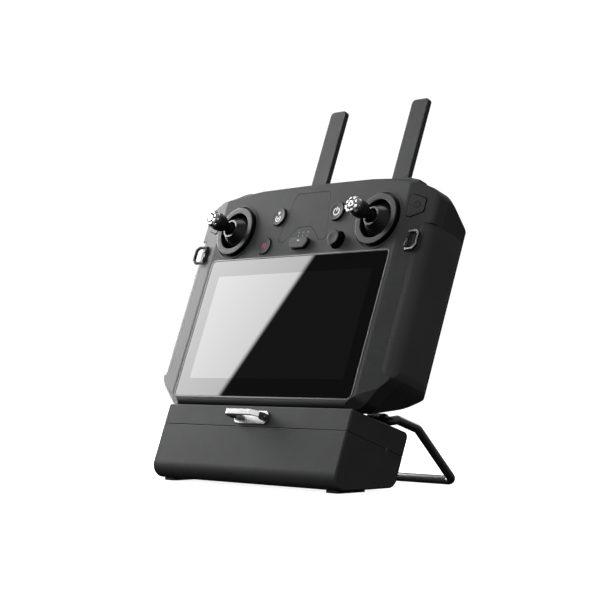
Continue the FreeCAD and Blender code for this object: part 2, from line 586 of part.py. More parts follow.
# ---------------------------------------------------------------- lanyard brackets and rings
br = []
for s in (1, -1):
    b = fit_plane(rect(RINGAX_U - 1.9, RINGAX_U + 1.9, RING_V - 5.1, RING_V + 5.1), 1.4, 0.0, 0.8)
    for v0 in (RING_V - 4.7, RING_V + 1.9):
        b = b.fuse(cyl_v(RINGAX_U, RINGAX_W, 1.75, v0, v0 + 2.8)).fuse(box(RINGAX_U - 1.7, RINGAX_U + 1.7, RINGAX_W, 2.0, v0, v0 + 2.8))
    b = b.cut(cyl_v(RINGAX_U, RINGAX_W, 0.95, 0, 100))
    for v0 in (RING_V - 9.5, RING_V + 5.1):
        b = b.cut(cyl_v(RINGAX_U, RINGAX_W, 1.45, v0, v0 + 4.4))
    b = b.cut(fit_plane(rect(90, 120, 20, 90), 0, 20, 0.0))
    b = one(b)
    br.append(b if s == 1 else mirror(b))
add("lanyard_brackets", Part.makeCompound(br))

RO = [(-0.9, -7.2), (8.2, -7.2), (11.3, -4.5), (11.3, 4.5), (8.2, 7.2), (-0.9, 7.2)]
RING_LEAN = -7.2       # the free side stands a little forward of the hinge, degrees
rg = prism(RO, [0.9, 1.6, 1.6, 1.6, 1.6, 0.9], -0.95, 0.95)
rg = rg.cut(prism([(0.9, -5.3), (7.4, -5.3), (9.2, -3.6), (9.2, 3.6), (7.4, 5.3), (0.9, 5.3)], [0.2, 1, 1, 1, 1, 0.2], -3, 3))
rg = fillet(rg, 0.5, lambda e: mid(e).x > 1.2 and abs(abs(mid(e).y) - 0.95) < 0.01)
rg = rg.cut(box(-3, 0.0, -3, 3, -20, 20)).cut(box(-3, 1.0, -3, 3, -5.3, 5.3)).fuse(cyl_v(0, 0, 0.9, -7.2, 7.2))
rg = one(rg)
rg.rotate(Vector(0, 0, 0), Vector(0, 0, 1), RING_LEAN)
rg.translate(V(RINGAX_U, RINGAX_W, RING_V))
add("lanyard_ring_right", rg)
add("lanyard_ring_left", mirror(rg))

# ---------------------------------------------------------------- antennas
bl = prism([(ANT_U - ANT_HW, 97.0), (ANT_U + ANT_HW, 97.0), (ANT_U + ANT_HW, ANT_TIP), (ANT_U - ANT_HW, ANT_TIP)], [2, 2, 3.2, 3.2], ANT_F, ANT_F + ANT_T)
bl = fillet(bl, 0.6, lambda e: abs(mid(e).y - ANT_F) < 0.01 or abs(mid(e).y - ANT_F - ANT_T) < 0.01)
neckb = prism_u([(ANT_F + 0.2, 99.5), (ANT_F + 0.2, 96.4), (ANT_F + 2.2, 95.0), (ANT_PW - 2, ANT_PV - 2.0), (ANT_PW + 3.0, ANT_PV), (ANT_PW + 1.5, ANT_PV + 3.2), (ANT_F + ANT_T - 0.2, 99.5)],
                [0, 0, 0, 0, 0, 0, 0], ANT_U - 5.6, ANT_U + 5.6)
brl = cyl_u(ANT_PW, ANT_PV, 4.0, ANT_U - 5.6, ANT_U + 5.6)
ant = bl.fuse(neckb).fuse(brl).cut(cyl_u(ANT_PW, ANT_PV, 1.66, ANT_U - 20, ANT_U + 20))
add("antenna_right", one(ant))
add("antenna_left", mirror(one(ant)))
brk = []
pins = []
for s in (1, -1):
    base_p = box(ANT_U - 8.6, ANT_U + 8.6, BODY_D, BODY_D + 2.2, 68.0, 83.0)
    lug = None
    for c in (ANT_U - 7.2, ANT_U + 7.2):
        lg = prism_u([(BODY_D, 68.0), (BODY_D + 2.2, 68.0), (ANT_PW + 4.2, ANT_PV - 6.0), (ANT_PW + 4.2, ANT_PV + 4.2), (ANT_PW - 2.6, ANT_PV + 4.2), (BODY_D, 85.0)],
                     [0, 0, 2.5, 3.9, 2.5, 0], c - 1.3, c + 1.3)
        base_p = base_p.fuse(lg)
    base_p = base_p.cut(cyl_u(ANT_PW, ANT_PV, 1.6, ANT_U - 20, ANT_U + 20))
    base_p = one(base_p.cut(outer))
    pn = cyl_u(ANT_PW, ANT_PV, 1.6, ANT_U - 8.5, ANT_U + 8.5)
    brk.append(base_p if s == 1 else mirror(base_p))
    pins.append(pn if s == 1 else mirror(pn))
add("antenna_brackets", Part.makeCompound(brk))
add("antenna_pins", Part.makeCompound(pins))

# ---------------------------------------------------------------- battery module below
ST, CT = math.sin(math.radians(TILT)), math.cos(math.radians(TILT))


def v_at(h, w):
    """height h above the ground plane, at depth w, as a screen height"""
    return (h - FLOOR + w * ST) / CT


FOOT_H = 1.7
side = [(BOX_F, BOX_TOP), (14.0, BOX_TOP), (BOX_R, -57.1), (BOX_R, v_at(FOOT_H, BOX_R)), (BOX_F, v_at(FOOT_H, BOX_F))]
srad = [1.2, 0, 3.6, 7.5, 9.2]
mod = prism_u(side, srad, -BOX_U, BOX_U)
mod = fillet(mod, 1.3, lambda e: abs(abs(mid(e).x) - BOX_U) < 0.01)
inner = prism_u([(BOX_F + 2.4, BOX_TOP - 2.4), (BOX_R - 2.4, -59.6), (BOX_R - 2.4, v_at(FOOT_H + 2.6, BOX_R)), (BOX_F + 2.4, v_at(FOOT_H + 2.6, BOX_F + 2.4))],
                [0, 2, 6, 7], -BOX_U + 2.4, BOX_U - 2.4)
# channels in the rear corner that take the stand's arms when it is folded
CHANNEL = [(46.2, -50.0), (46.2, -58.4), (48.2, -61.8), (55.2, -79.5), (62.0, -79.5), (62.0, -50.0)]
CHAN_IN = [(44.4, -50.0), (44.4, -59.0), (46.4, -62.6), (53.2, -81.5), (62.0, -81.5), (62.0, -50.0)]
for s in (1, -1):
    lo, hi = sorted((s * (BAIL_U - 3.7), s * (BAIL_U + 3.7)))
    mod = mod.cut(prism_u(CHANNEL, [0, 0.5, 2, 1, 0, 0], lo, hi))
    inner = inner.cut(prism_u(CHAN_IN, [0, 0.5, 2, 1, 0, 0], lo - 1.8, hi + 1.8))
hollow = mod.cut(inner)
groove = 0.35
upper = hollow.common(box(-200, 200, -50, 100, BOX_SPLIT + groove / 2, 0))
lower = hollow.common(box(-200, 200, -50, 100, -200, BOX_SPLIT - groove / 2))
lower = fillet(lower, 0.25, lambda e: abs(mid(e).z - BOX_SPLIT + groove / 2) < 0.01 and (abs(mid(e).x) > BOX_U - 0.1 or mid(e).y < BOX_F + 0.1 or mid(e).y > BOX_R - 0.1))
# inner tongue that locates the two halves
tongue = box(-BOX_U + 2.4, BOX_U - 2.4, BOX_F + 2.4, BOX_R - 2.4, BOX_SPLIT - 3, BOX_SPLIT + 3).cut(
    box(-BOX_U + 3.8, BOX_U - 3.8, BOX_F + 3.8, BOX_R - 3.8, BOX_SPLIT - 5, BOX_SPLIT + 5))
for s in (1, -1):
    lo, hi = sorted((s * (BAIL_U - 6.2), s * (BAIL_U + 6.2)))
    tongue = tongue.cut(box(lo, hi, 40, 60, BOX_SPLIT - 5, BOX_SPLIT + 5))
upper = upper.fuse(tongue)
# side latch screw
LATCH_W = 38.8
for s in (1, -1):
    cutp = cyl_u(LATCH_W, BOX_SPLIT, 1.25, s * BOX_U - 1.2, s * BOX_U + 1.2)
    upper = upper.cut(cutp)
    lower = lower.cut(cutp)
# hook plate recess
HP = rect(-17.4, 17.4, -72.0, -62.7)
lower = one(lower)
upper = one(upper)
# port in the back of the module
PORT_U, PORT_V = 62.0, -84.0
lower = lower.cut(prism(rect(PORT_U - 7.0, PORT_U + 7.0, PORT_V - 4.2, PORT_V + 4.2), 1.5, BOX_R - 8, BOX_R + 5))
# screw seats underneath
MS = [(-70, 40), (70, 40), (-40, 24), (40, 24)]
add("module_top_shell", one(upper))
add("module_bottom_shell", one(lower))
prt = prism(rect(PORT_U - 6.8, PORT_U + 6.8, PORT_V - 4.0, PORT_V + 4.0), 1.4, BOX_R - 9.5, BOX_R - 0.4)
prt = prt.cut(prism(rect(PORT_U - 4.8, PORT_U + 4.8, PORT_V - 2.3, PORT_V + 2.3), 2.2, BOX_R - 8.0, BOX_R + 5))
prt = prt.fuse(box(PORT_U - 3.4, PORT_U + 3.4, BOX_R - 8.5, BOX_R - 2.5, PORT_V - 0.35, PORT_V + 0.35))
add("charge_port", one(prt))

latch = []
for s in (1, -1):
    l = cyl_u(LATCH_W, BOX_SPLIT, 1.15, min(s * (BOX_U - 1.1), s * (BOX_U + 0.15)), max(s * (BOX_U - 1.1), s * (BOX_U + 0.15)))
    l = l.cut(box(s * BOX_U - 0.3 if s > 0 else -BOX_U - 1, s * BOX_U + 1 if s > 0 else -BOX_U + 0.3, LATCH_W - 0.2, LATCH_W + 0.2, BOX_SPLIT - 0.9, BOX_SPLIT + 0.9))
    latch.append(one(l))
add("module_screws", Part.makeCompound(latch))

mc = []
for k in range(4):
    u0 = -84 + 34.5 * k
    if k == 3:
        u0 = 19.5 + 0.0
    mc.append(one(box(-86 + 35.0 * k, -86 + 35.0 * k + 34.0, 14.0, 44.0, -91.5, -66.0)))
add("module_cells", Part.makeCompound([one(fillet(c, 3.0, lambda e: True)) for c in mc]))
mb = box(-80, 50, 10.5, 12.0, -97, -64)
mb = mb.fuse(box(-20, 10, 8.0, 10.5, -92, -84)).fuse(box(-60, -40, 7.5, 10.5, -90, -80))
add("module_board", one(mb))

dock = prism_u([(16.0, -58.60), (38.0, -57.74), (38.0, -46.5), (30.0, -50.9), (16.0, -57.9)], 0, -38, 38)
dock = dock.cut(outer).cut(mod)
add("dock_block", one(dock))

feet = []
for s in (1, -1):
    for (w0, w1) in ((11.5, 35.0),):
        f = box(78.5, 91.0, w0, w1, -130, -60)
        # pad follows the level underside of the module
        lo = FLOOR
        f = Part.Face(Part.makePolygon([V(78.5, w0, v_at(0, w0)), V(91.0, w0, v_at(0, w0)), V(91.0, w1, v_at(0, w1)), V(78.5, w1, v_at(0, w1)), V(78.5, w0, v_at(0, w0))]))
        up = Vector(0, -ST, CT) * 3.2
        f = f.extrude(up)
        f = fillet(f, 2.0, lambda e: abs(e.Length - 3.2) < 0.01)
        f = f.cut(mod)
        f = one(f)
        feet.append(f if s == 1 else mirror(f))
add("rubber_feet", Part.makeCompound(feet))

# ---------------------------------------------------------------- strap hook
hp = prism(HP, 4.0, -0.35, BOX_F)
hp = fillet(hp, 0.35, lambda e: abs(mid(e).y + 0.35) < 0.01)
HOOK_HALF = 18.6
for s in (1, -1):
    u0, u1 = s * 11.6, s * 14.3
    lg = box(min(u0, u1), max(u0, u1), HOOK_W, -0.2, HOOK_V - 1.9, HOOK_V + 1.9).fuse(cyl_u(HOOK_W, HOOK_V, 1.9, min(u0, u1), max(u0, u1)))
    hp = hp.fuse(lg)
hp = hp.cut(cyl_u(HOOK_W, HOOK_V, 1.0, -30, 30))
add("hook_plate", one(hp))
hpins = []
for s in (1, -1):
    hpins.append(cyl_u(HOOK_W, HOOK_V, 1.0, min(s * 11.6, s * 18.4), max(s * 11.6, s * 18.4)))
add("hook_pins", Part.makeCompound(hpins))
out_p = [(-12.6, -12.9), (12.6, -12.9), (17.2, -8.4), (18.6, 0.0), (-18.6, 0.0), (-17.2, -8.4)]
in_p = [(-11.4, -10.2), (11.4, -10.2), (14.7, -7.0), (15.8, 6.0), (-15.8, 6.0), (-14.7, -7.0)]
hk = prism_v(out_p, [0.8, 0.8, 0.8, 0, 0, 0.8], HOOK_V - 1.75, HOOK_V + 1.75).cut(prism_v(in_p, [0.5, 0.5, 0.5, 0, 0, 0.5], HOOK_V - 3, HOOK_V + 3))
hk = hk.cut(box(-30, 30, HOOK_W, 5, -90, -50))
for s in (1, -1):
    u0, u1 = s * 15.8, s * 18.4
    hk = hk.fuse(cyl_u(HOOK_W, HOOK_V, 1.75, min(u0, u1), max(u0, u1)))
    hk = hk.fuse(box(min(u0, u1), max(u0, u1), HOOK_W - 3.0, HOOK_W, HOOK_V - 1.75, HOOK_V + 1.75).common(prism_v(out_p, 0, HOOK_V - 3, HOOK_V + 3)))
hk = hk.cut(cyl_u(HOOK_W, HOOK_V, 1.04, -30, 30))
hk = fillet(one(hk), 0.5, lambda e: mid(e).y < HOOK_W - 3.2 and abs(abs(mid(e).z - HOOK_V) - 1.75) < 0.01)
add("strap_hook", one(hk))


# ---------------------------------------------------------------- stand bail
def rod(path, r, bend):
    """round bar along a path of straight runs joined by arcs of radius bend"""
    edges = []
    n = len(path)
    last = path[0]
    for i in range(1, n - 1):
        a = (path[i - 1] - path[i]).normalize()
        b = (path[i + 1] - path[i]).normalize()
        half = math.acos(max(-1, min(1, a.dot(b)))) / 2
        br_ = bend[i - 1] if isinstance(bend, (list, tuple)) else bend
        t = br_ / math.tan(half)
        s, e = path[i] + a * t, path[i] + b * t
        m = path[i] + (a + b).normalize() * (br_ / math.sin(half) - br_)
        edges.append(Part.LineSegment(last, s).toShape())
        edges.append(Part.Arc(s, m, e).toShape())
        last = e
    edges.append(Part.LineSegment(last, path[-1]).toShape())
    wire = Part.Wire(edges)
    d = (path[1] - path[0]).normalize()
    prof = Part.Wire([Part.Circle(path[0], d, r).toShape()])
    return wire.makePipeShell([prof], True, False)


B1 = (-49.0, 52.5)
B2 = (-48.4, 73.0)
B3 = (-70.3 + 0.0, 117.8)
# crossbar rests on the ground plane
B3 = (v_at(BAIL_R, 117.8), 117.8)
half_path = [V(73.0, BAIL_W, BAIL_V), V(BAIL_U, BAIL_W, BAIL_V), V(BAIL_U, B1[1], B1[0]), V(BAIL_U, B2[1], B2[0]), V(BAIL_U, B3[1], B3[0])]
path = half_path + [Vector(-p.x, p.y, p.z) for p in reversed(half_path)]
bail = rod(path, BAIL_R, [3.4, 3.4, 6.0, 4.2, 4.2, 6.0, 3.4, 3.4])
add("stand_bail", one(bail) if bail.Solids else bail)
sbk = []
for s in (1, -1):
    b = prism_u([(BAIL_W - 5.6, -58.6), (BAIL_W + 5.6, -58.6), (BAIL_W + 5.2, BAIL_V + 5.0), (BAIL_W - 5.2, BAIL_V + 5.0)], [0, 0, 5.0, 5.0], 67.0, 80.2)
    b = b.cut(cyl_u(BAIL_W, BAIL_V, BAIL_R + 0.06, 71.0, 90))
    b = b.cut(mod)
    b = one(b)
    sbk.append(b if s == 1 else mirror(b))
add("stand_brackets", Part.makeCompound(sbk))

# ---------------------------------------------------------------- lean back, set down, write out
AX = Vector(1, 0, 0)


def to_ground(s):
    s = s.copy()
    s.rotate(Vector(0, 0, 0), AX, -TILT)
    s.translate(Vector(0, -SHIFT_Y, FLOOR))
    return s


whole = None
for name in sorted(parts):
    shp = parts[name]
    if shp.ShapeType == "Compound" and len(shp.Solids) == 1:
        shp = shp.Solids[0]
    g = to_ground(shp)
    if not g.isValid():
        print("not valid:", name)
    if not g.Solids:
        print("no solid:", name)
    g.exportStep("parts/" + name + ".step")
    bb = g.BoundBox
    print("%-22s solids %d  vol %9.1f  x %7.2f %7.2f  y %7.2f %7.2f  z %7.2f %7.2f" % (name, len(g.Solids), g.Volume, bb.XMin, bb.XMax, bb.YMin, bb.YMax, bb.ZMin, bb.ZMax))
    if whole is None:
        whole = bb
    else:
        whole.add(bb)
print("whole x %.2f %.2f y %.2f %.2f z %.2f %.2f  nodes %d" % (whole.XMin, whole.XMax, whole.YMin, whole.YMax, whole.ZMin, whole.ZMax, len(parts)))
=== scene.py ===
import json
import math
import bpy
import bmesh
from mathutils import Matrix, Vector


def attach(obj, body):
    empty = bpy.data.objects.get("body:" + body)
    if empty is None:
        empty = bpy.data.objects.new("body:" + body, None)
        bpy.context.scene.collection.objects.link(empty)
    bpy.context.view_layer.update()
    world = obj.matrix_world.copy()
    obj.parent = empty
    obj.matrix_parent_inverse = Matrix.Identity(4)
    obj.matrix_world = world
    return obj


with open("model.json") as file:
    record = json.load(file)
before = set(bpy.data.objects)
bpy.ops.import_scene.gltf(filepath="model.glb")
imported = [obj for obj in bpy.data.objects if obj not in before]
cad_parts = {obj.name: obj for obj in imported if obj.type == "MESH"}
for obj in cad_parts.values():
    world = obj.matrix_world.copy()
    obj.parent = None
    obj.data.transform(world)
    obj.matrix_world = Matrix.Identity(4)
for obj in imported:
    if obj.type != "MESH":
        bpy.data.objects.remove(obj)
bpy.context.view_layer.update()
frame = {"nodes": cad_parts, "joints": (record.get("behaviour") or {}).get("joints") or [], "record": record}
NODES, REC = frame["nodes"], frame["record"]

# ------------------------------------------------------------------ the leaning frame of the controller
# local axes: u across, w into the body from the glass, v up the screen (mm); origin at the screen centre
JOINTS = {j["name"]: j for j in frame["joints"]}
V_AX = Vector(JOINTS["stick_right_yaw"]["axis"]).normalized()
U_AX = Vector((1, 0, 0))
W_AX = V_AX.cross(U_AX).normalized()
if W_AX.y < 0:
    W_AX = -W_AX
STICK = Vector((73.5, 10.0, 74.3))
_p = Vector(JOINTS["stick_right_yaw"]["pos_m"])
ORG = _p - (U_AX * STICK.x + W_AX * STICK.y + V_AX * STICK.z) * 0.001
LOC = Matrix((
    (U_AX.x * .001, W_AX.x * .001, V_AX.x * .001, ORG.x),
    (U_AX.y * .001, W_AX.y * .001, V_AX.y * .001, ORG.y),
    (U_AX.z * .001, W_AX.z * .001, V_AX.z * .001, ORG.z),
    (0, 0, 0, 1)))


def L(u, w, v):
    return LOC @ Vector((u, w, v))


def to_local(p):
    return LOC.inverted() @ Vector(p)


# ------------------------------------------------------------------ materials
def node(nt, kind, loc=(0, 0), **vals):
    n = nt.nodes.new(kind)
    n.location = loc
    for k, v in vals.items():
        if hasattr(n, k):
            setattr(n, k, v)
        else:
            n.inputs[k].default_value = v
    return n


def link(nt, a, ao, b, bi):
    nt.links.new(a.outputs[ao], b.inputs[bi])


def new_mat(name):
    m = bpy.data.materials.new(name)
    m.use_nodes = True
    nt = m.node_tree
    nt.nodes.clear()
    out = node(nt, "ShaderNodeOutputMaterial", (900, 0))
    bs = node(nt, "ShaderNodeBsdfPrincipled", (600, 0))
    link(nt, bs, "BSDF", out, "Surface")
    tc = node(nt, "ShaderNodeTexCoord", (-900, 0))
    return m, nt, bs, tc


def ramp(nt, src, so, stops, loc=(0, 0)):
    r = node(nt, "ShaderNodeValToRGB", loc)
    el = r.color_ramp.elements
    el[0].position, el[0].color = stops[0][0], (*stops[0][1], 1)
    el[1].position, el[1].color = stops[1][0], (*stops[1][1], 1)
    for p, c in stops[2:]:
        e = el.new(p)
        e.color = (*c, 1)
    link(nt, src, so, r, "Fac")
    return r


def plastic(name, col, rough=0.5, grain=2600.0, bump=0.35, spec=0.10, var=0.10, edge=0.5, edge_highlight_col=None, round_mm=0.25, rvar=0.06, coat=0.0):
    """spark-eroded moulded plastic: fine pitted grain, cloudy tone, paler edges that are partly polish wear and partly
    a painted edge highlight
    """
    m, nt, bs, tc = new_mat(name)
    bs.inputs["Specular IOR Level"].default_value = spec
    if coat:
        bs.inputs["Coat Weight"].default_value = coat
        bs.inputs["Coat Roughness"].default_value = 0.12
    big = node(nt, "ShaderNodeTexNoise", (-650, 300), Scale=38.0, Detail=3.0, Roughness=0.55)
    link(nt, tc, "Object", big, "Vector")
    fine = node(nt, "ShaderNodeTexNoise", (-650, 0), Scale=grain, Detail=2.0, Roughness=0.6)
    link(nt, tc, "Object", fine, "Vector")
    pits = node(nt, "ShaderNodeTexVoronoi", (-650, -300), Scale=grain * 0.55)
    link(nt, tc, "Object", pits, "Vector")
    lo = tuple(c * (1 - var) for c in col)
    hi = tuple(min(1, c * (1 + var)) for c in col)
    base = ramp(nt, big, "Fac", [(0.3, lo), (0.7, hi)], (-400, 300))
    spk = ramp(nt, fine, "Fac", [(0.35, (0.80, 0.80, 0.80)), (0.68, (1.12, 1.12, 1.12))], (-400, 60))
    mul = node(nt, "ShaderNodeMix", (-120, 220), data_type="RGBA", blend_type="MULTIPLY")
    mul.inputs[0].default_value = 1.0
    nt.links.new(base.outputs[0], mul.inputs[6])
    nt.links.new(spk.outputs[0], mul.inputs[7])
    last = mul.outputs[2]
    bev = None
    if round_mm:
        bev = node(nt, "ShaderNodeBevel", (-400, -520), samples=4)
        bev.inputs["Radius"].default_value = round_mm * 0.001
    if edge and round_mm:
        # edge mask from how far the rounded normal leaves the true one; the edges get a paler colour, partly polish
        # wear and partly a painted highlight
        geo = node(nt, "ShaderNodeNewGeometry", (-650, -620))
        dot = node(nt, "ShaderNodeVectorMath", (-200, -560), operation="DOT_PRODUCT")
        link(nt, bev, 0, dot, 0)
        link(nt, geo, "Normal", dot, 1)
        er = node(nt, "ShaderNodeMapRange", (-20, -560))
        er.inputs["From Min"].default_value = 0.999
        er.inputs["From Max"].default_value = 0.90
        link(nt, dot, "Value", er, "Value")
        brk = node(nt, "ShaderNodeTexNoise", (-200, -760), Scale=420.0, Detail=3.0)
        link(nt, tc, "Object", brk, "Vector")
        bm = node(nt, "ShaderNodeMath", (150, -600), operation="MULTIPLY")
        link(nt, er, 0, bm, 0)
        link(nt, brk, "Fac", bm, 1)
        em = node(nt, "ShaderNodeMath", (300, -600), operation="MULTIPLY", use_clamp=True)
        link(nt, bm, 0, em, 0)
        em.inputs[1].default_value = edge
        # painted highlight, partly wear: the edge mask blends in the paler edge colour
        mx = node(nt, "ShaderNodeMix", (150, 220), data_type="RGBA")
        link(nt, em, 0, mx, 0)
        nt.links.new(last, mx.inputs[6])
        ec = edge_highlight_col or tuple(min(1, c * 2.6 + 0.01) for c in col)
        mx.inputs[7].default_value = (*ec, 1)
        last = mx.outputs[2]
    nt.links.new(last, bs.inputs["Base Color"])
    rr = node(nt, "ShaderNodeMapRange", (150, 0))
    rr.inputs["To Min"].default_value = rough - rvar
    rr.inputs["To Max"].default_value = rough + rvar
    link(nt, fine, "Fac", rr, "Value")
    link(nt, rr, 0, bs, "Roughness")
    add = node(nt, "ShaderNodeMath", (-300, -260), operation="ADD")
    link(nt, fine, "Fac", add, 0)
    link(nt, pits, "Distance", add, 1)
    bp = node(nt, "ShaderNodeBump", (350, -260))
    bp.inputs["Strength"].default_value = bump
    bp.inputs["Distance"].default_value = 0.00006
    link(nt, add, 0, bp, "Height")
    if bev:
        link(nt, bev, 0, bp, "Normal")
    link(nt, bp, 0, bs, "Normal")
    return m


def metal(name, col, rough=0.25, aniso=0.0, scale=900.0, bump=0.05, round_mm=0.15, metallic=1.0, spec=0.5, turned=None):
    """metal with fine draw or turning marks and uneven polish"""
    m, nt, bs, tc = new_mat(name)
    bs.inputs["Metallic"].default_value = metallic
    bs.inputs["Specular IOR Level"].default_value = spec
    if aniso:
        bs.inputs["Anisotropic"].default_value = aniso
    mp = node(nt, "ShaderNodeMapping", (-700, -100))
    mp.inputs["Scale"].default_value = (0.06, 1.0, 1.0)
    link(nt, tc, "Object", mp, "Vector")
    n1 = node(nt, "ShaderNodeTexNoise", (-500, -100), Scale=scale, Detail=3.0)
    link(nt, mp, "Vector", n1, "Vector")
    n2 = node(nt, "ShaderNodeTexNoise", (-500, 200), Scale=120.0, Detail=4.0)
    link(nt, tc, "Object", n2, "Vector")
    cr = ramp(nt, n2, "Fac", [(0.3, tuple(c * 0.9 for c in col)), (0.7, tuple(min(1, c * 1.06) for c in col))], (-250, 200))
    nt.links.new(cr.outputs[0], bs.inputs["Base Color"])
    rr = node(nt, "ShaderNodeMapRange", (0, 0))
    rr.inputs["To Min"].default_value = max(0.03, rough - 0.06)
    rr.inputs["To Max"].default_value = rough + 0.08
    link(nt, n1, "Fac", rr, "Value")
    link(nt, rr, 0, bs, "Roughness")
    bp = node(nt, "ShaderNodeBump", (300, -250))
    bp.inputs["Strength"].default_value = bump
    bp.inputs["Distance"].default_value = 0.00004
    link(nt, n1, "Fac", bp, "Height")
    if round_mm:
        bev = node(nt, "ShaderNodeBevel", (0, -350), samples=4)
        bev.inputs["Radius"].default_value = round_mm * 0.001
        link(nt, bev, 0, bp, "Normal")
    link(nt, bp, 0, bs, "Normal")
    return m


def rubber(name, col, rough=0.72):
    """soft-touch grip: fine round dimples on a matt skin with a slight sheen"""
    m, nt, bs, tc = new_mat(name)
    bs.inputs["Sheen Weight"].default_value = 0.12
    bs.inputs["Sheen Roughness"].default_value = 0.5
    bs.inputs["Specular IOR Level"].default_value = 0.35
    vor = node(nt, "ShaderNodeTexVoronoi", (-600, -100), Scale=1100.0)
    vor.inputs["Randomness"].default_value = 0.35
    link(nt, tc, "Object", vor, "Vector")
    big = node(nt, "ShaderNodeTexNoise", (-600, 200), Scale=30.0, Detail=4.0)
    link(nt, tc, "Object", big, "Vector")
    base = ramp(nt, big, "Fac", [(0.3, tuple(c * 0.86 for c in col)), (0.7, tuple(c * 1.14 for c in col))], (-350, 200))
    dim = ramp(nt, vor, "Distance", [(0.0, (0.72, 0.72, 0.72)), (0.45, (1.05, 1.05, 1.05))], (-350, -60))
    mul = node(nt, "ShaderNodeMix", (-80, 100), data_type="RGBA", blend_type="MULTIPLY")
    mul.inputs[0].default_value = 1.0
    nt.links.new(base.outputs[0], mul.inputs[6])
    nt.links.new(dim.outputs[0], mul.inputs[7])
    nt.links.new(mul.outputs[2], bs.inputs["Base Color"])
    rr = node(nt, "ShaderNodeMapRange", (0, -40))
    rr.inputs["To Min"].default_value = rough - 0.06
    rr.inputs["To Max"].default_value = rough + 0.06
    link(nt, big, "Fac", rr, "Value")
    link(nt, rr, 0, bs, "Roughness")
    bev = node(nt, "ShaderNodeBevel", (0, -400), samples=4)
    bev.inputs["Radius"].default_value = 0.0004
    bp = node(nt, "ShaderNodeBump", (300, -250))
    bp.inputs["Strength"].default_value = 0.5
    bp.inputs["Distance"].default_value = 0.00008
    link(nt, vor, "Distance", bp, "Height")
    link(nt, bev, 0, bp, "Normal")
    link(nt, bp, 0, bs, "Normal")
    return m


def paint(name, col, rough=0.45, painted_glow=0.0):
    """printed mark with slight unevenness; with a glow strength the print also glows, a painted light though it is no
    lamp
    """
    m, nt, bs, tc = new_mat(name)
    n2 = node(nt, "ShaderNodeTexNoise", (-500, 200), Scale=900.0, Detail=3.0)
    link(nt, tc, "Object", n2, "Vector")
    cr = ramp(nt, n2, "Fac", [(0.3, tuple(c * 0.86 for c in col)), (0.7, tuple(min(1, c * 1.05) for c in col))], (-250, 200))
    nt.links.new(cr.outputs[0], bs.inputs["Base Color"])
    bs.inputs["Roughness"].default_value = rough
    # painted light: the print is given an emission glow, though it is no lamp
    if painted_glow:
        nt.links.new(cr.outputs[0], bs.inputs["Emission Color"])
        bs.inputs["Emission Strength"].default_value = painted_glow
    bp = node(nt, "ShaderNodeBump", (300, -250))
    bp.inputs["Strength"].default_value = 0.1
    bp.inputs["Distance"].default_value = 0.00003
    link(nt, n2, "Fac", bp, "Height")
    link(nt, bp, 0, bs, "Normal")
    return m


def glass_mat(name):
    """cover glass over a dark display: active area set off from the printed border, faint smudges"""
    m, nt, bs, tc = new_mat(name)
    sep = node(nt, "ShaderNodeSeparateXYZ", (-650, 100))
    # distance from the screen centre in the plane of the glass, in metres
    mp = node(nt, "ShaderNodeVectorMath", (-850, 200), operation="SUBTRACT")
    link(nt, tc, "Object", mp, 0)
    mp.inputs[1].default_value = ORG
    dv = node(nt, "ShaderNodeVectorMath", (-650, 320), operation="DOT_PRODUCT")
    link(nt, mp, 0, dv, 0)
    dv.inputs[1].default_value = V_AX
    link(nt, mp, 0, sep, 0)

    def within(src, out, lo, hi, y):
        a = node(nt, "ShaderNodeMapRange", (-420, y), clamp=True)
        a.inputs["From Min"].default_value = lo - 0.0001
        a.inputs["From Max"].default_value = lo + 0.0001
        nt.links.new(src.outputs[out], a.inputs["Value"])
        b = node(nt, "ShaderNodeMapRange", (-420, y - 250), clamp=True)
        b.inputs["From Min"].default_value = hi + 0.0001
        b.inputs["From Max"].default_value = hi - 0.0001
        nt.links.new(src.outputs[out], b.inputs["Value"])
        c = node(nt, "ShaderNodeMath", (-220, y), operation="MULTIPLY")
        link(nt, a, 0, c, 0)
        link(nt, b, 0, c, 1)
        return c
    cu = within(sep, "X", -0.0800, 0.0800, 300)
    cv = within(dv, "Value", -0.0393, 0.0393, -200)
    act = node(nt, "ShaderNodeMath", (0, 100), operation="MULTIPLY")
    link(nt, cu, 0, act, 0)
    link(nt, cv, 0, act, 1)
    mx = node(nt, "ShaderNodeMix", (200, 200), data_type="RGBA")
    link(nt, act, 0, mx, 0)
    mx.inputs[6].default_value = (0.0022, 0.0022, 0.0024, 1)
    mx.inputs[7].default_value = (0.0050, 0.0050, 0.0054, 1)
    nt.links.new(mx.outputs[2], bs.inputs["Base Color"])
    sp = node(nt, "ShaderNodeMapRange", (200, 0))
    sp.inputs["To Min"].default_value = GLASS_SPEC[0]
    sp.inputs["To Max"].default_value = GLASS_SPEC[1]
    link(nt, act, 0, sp, "Value")
    link(nt, sp, 0, bs, "Specular IOR Level")
    sm = node(nt, "ShaderNodeTexNoise", (-200, -500), Scale=45.0, Detail=5.0, Roughness=0.6)
    link(nt, tc, "Object", sm, "Vector")
    rr = node(nt, "ShaderNodeMapRange", (200, -250))
    rr.inputs["From Min"].default_value = 0.4
    rr.inputs["From Max"].default_value = 0.8
    rr.inputs["To Min"].default_value = 0.002
    rr.inputs["To Max"].default_value = 0.007
    link(nt, sm, "Fac", rr, "Value")
    link(nt, rr, 0, bs, "Roughness")
    bs.inputs["IOR"].default_value = 1.52
    return m


